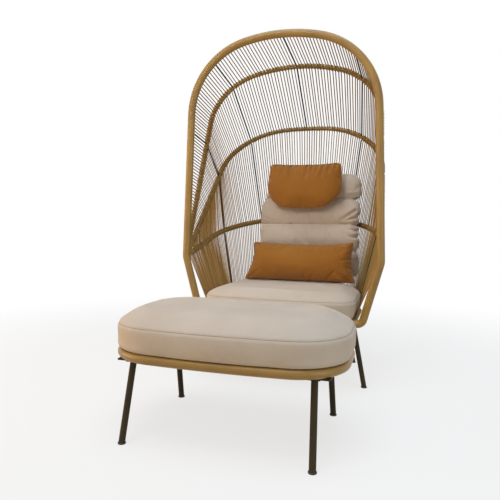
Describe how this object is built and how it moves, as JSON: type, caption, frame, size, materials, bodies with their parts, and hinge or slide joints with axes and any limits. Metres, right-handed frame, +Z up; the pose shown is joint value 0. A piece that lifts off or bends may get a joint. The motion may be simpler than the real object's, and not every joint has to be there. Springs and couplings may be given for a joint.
{
  "type": "outdoor armchair",
  "caption": "Hooded garden armchair of bent tube strung with cords, with loose seat, back and head cushions and a matching footstool.",
  "frame": {"origin": "on the floor, in the middle of the ground that the chair and its footstool cover", "axes": "+X to the right seen from the front, +Y towards the back, +Z up; the sitter looks along -Y"},
  "size_m": [0.9602, 1.5365, 1.6369],
  "materials": {
    "ochre_metal": "fine-texture satin paint",
    "dark_metal": "matt paint",
    "cord": "braided outdoor cord",
    "cushion_cover": "plain woven cover",
    "pillow_cover": "plain woven cover",
    "webbing": "woven band",
    "weight_pouch": "plain woven cover",
    "glide": "matt",
    "bolt": "plain"
  },
  "bodies": {
    "chair_frame": {"front_hoop": "ochre_metal", "crown_hoop": "ochre_metal", "back_hoop": "ochre_metal", "arm_rail": "ochre_metal", "seat_ring": "ochre_metal", "center_rib": "dark_metal", "inner_rib_left": "dark_metal", "inner_rib_right": "dark_metal", "outer_rib_left": "dark_metal", "outer_rib_right": "dark_metal", "front_bay_cords": "cord", "crown_bay_cords": "cord", "back_bay_cords": "cord", "seat_bay_cords": "cord", "seat_front_bar": "dark_metal", "seat_rear_bar": "dark_metal", "seat_webbing": "webbing", "front_left_leg": "dark_metal", "front_right_leg": "dark_metal", "rear_left_leg": "dark_metal", "rear_right_leg": "dark_metal", "front_left_leg_plate": "dark_metal", "front_right_leg_plate": "dark_metal", "rear_left_leg_plate": "dark_metal", "rear_right_leg_plate": "dark_metal", "chair_bolts": "bolt", "chair_glides": "glide"},
    "footstool": {"stool_ring": "ochre_metal", "stool_front_bar": "dark_metal", "stool_rear_bar": "dark_metal", "stool_webbing": "webbing", "stool_front_left_leg": "dark_metal", "stool_front_right_leg": "dark_metal", "stool_rear_left_leg": "dark_metal", "stool_rear_right_leg": "dark_metal", "stool_front_left_leg_plate": "dark_metal", "stool_front_right_leg_plate": "dark_metal", "stool_rear_left_leg_plate": "dark_metal", "stool_rear_right_leg_plate": "dark_metal", "stool_bolts": "bolt", "stool_glides": "glide"},
    "seat_cushion": {"seat_cushion": "cushion_cover"},
    "back_cushion": {"back_cushion": "cushion_cover"},
    "lumbar_pillow": {"lumbar_pillow": "pillow_cover"},
    "head_pillow": {"head_pillow": "pillow_cover", "head_pillow_strap": "webbing", "head_pillow_weight": "weight_pouch"},
    "stool_cushion": {"stool_cushion": "cushion_cover"}
  },
  "joints": [
    {"name": "footstool_slide", "type": "slide", "parent": "chair_frame", "child": "footstool", "axis": [0, 1, 0], "range_m": [-0.6, 0.12]},
    {"name": "seat_cushion_lift", "type": "slide", "parent": "chair_frame", "child": "seat_cushion", "axis": [0, 0, 1], "range_m": [0, 0.1]},
    {"name": "back_cushion_lift", "type": "slide", "parent": "seat_cushion", "child": "back_cushion", "axis": [0, -0.3419, 0.9397], "range_m": [0, 0.12]},
    {"name": "lumbar_pillow_pull", "type": "slide", "parent": "back_cushion", "child": "lumbar_pillow", "axis": [0, -0.9397, 0.3419], "range_m": [0, 0.22]},
    {"name": "head_pillow_raise", "type": "slide", "parent": "back_cushion", "child": "head_pillow", "axis": [0, 0.1392, 0.9903], "range_m": [0, 0.06]},
    {"name": "stool_cushion_lift", "type": "slide", "parent": "footstool", "child": "stool_cushion", "axis": [0, 0, 1], "range_m": [0, 0.2]}
  ]
}
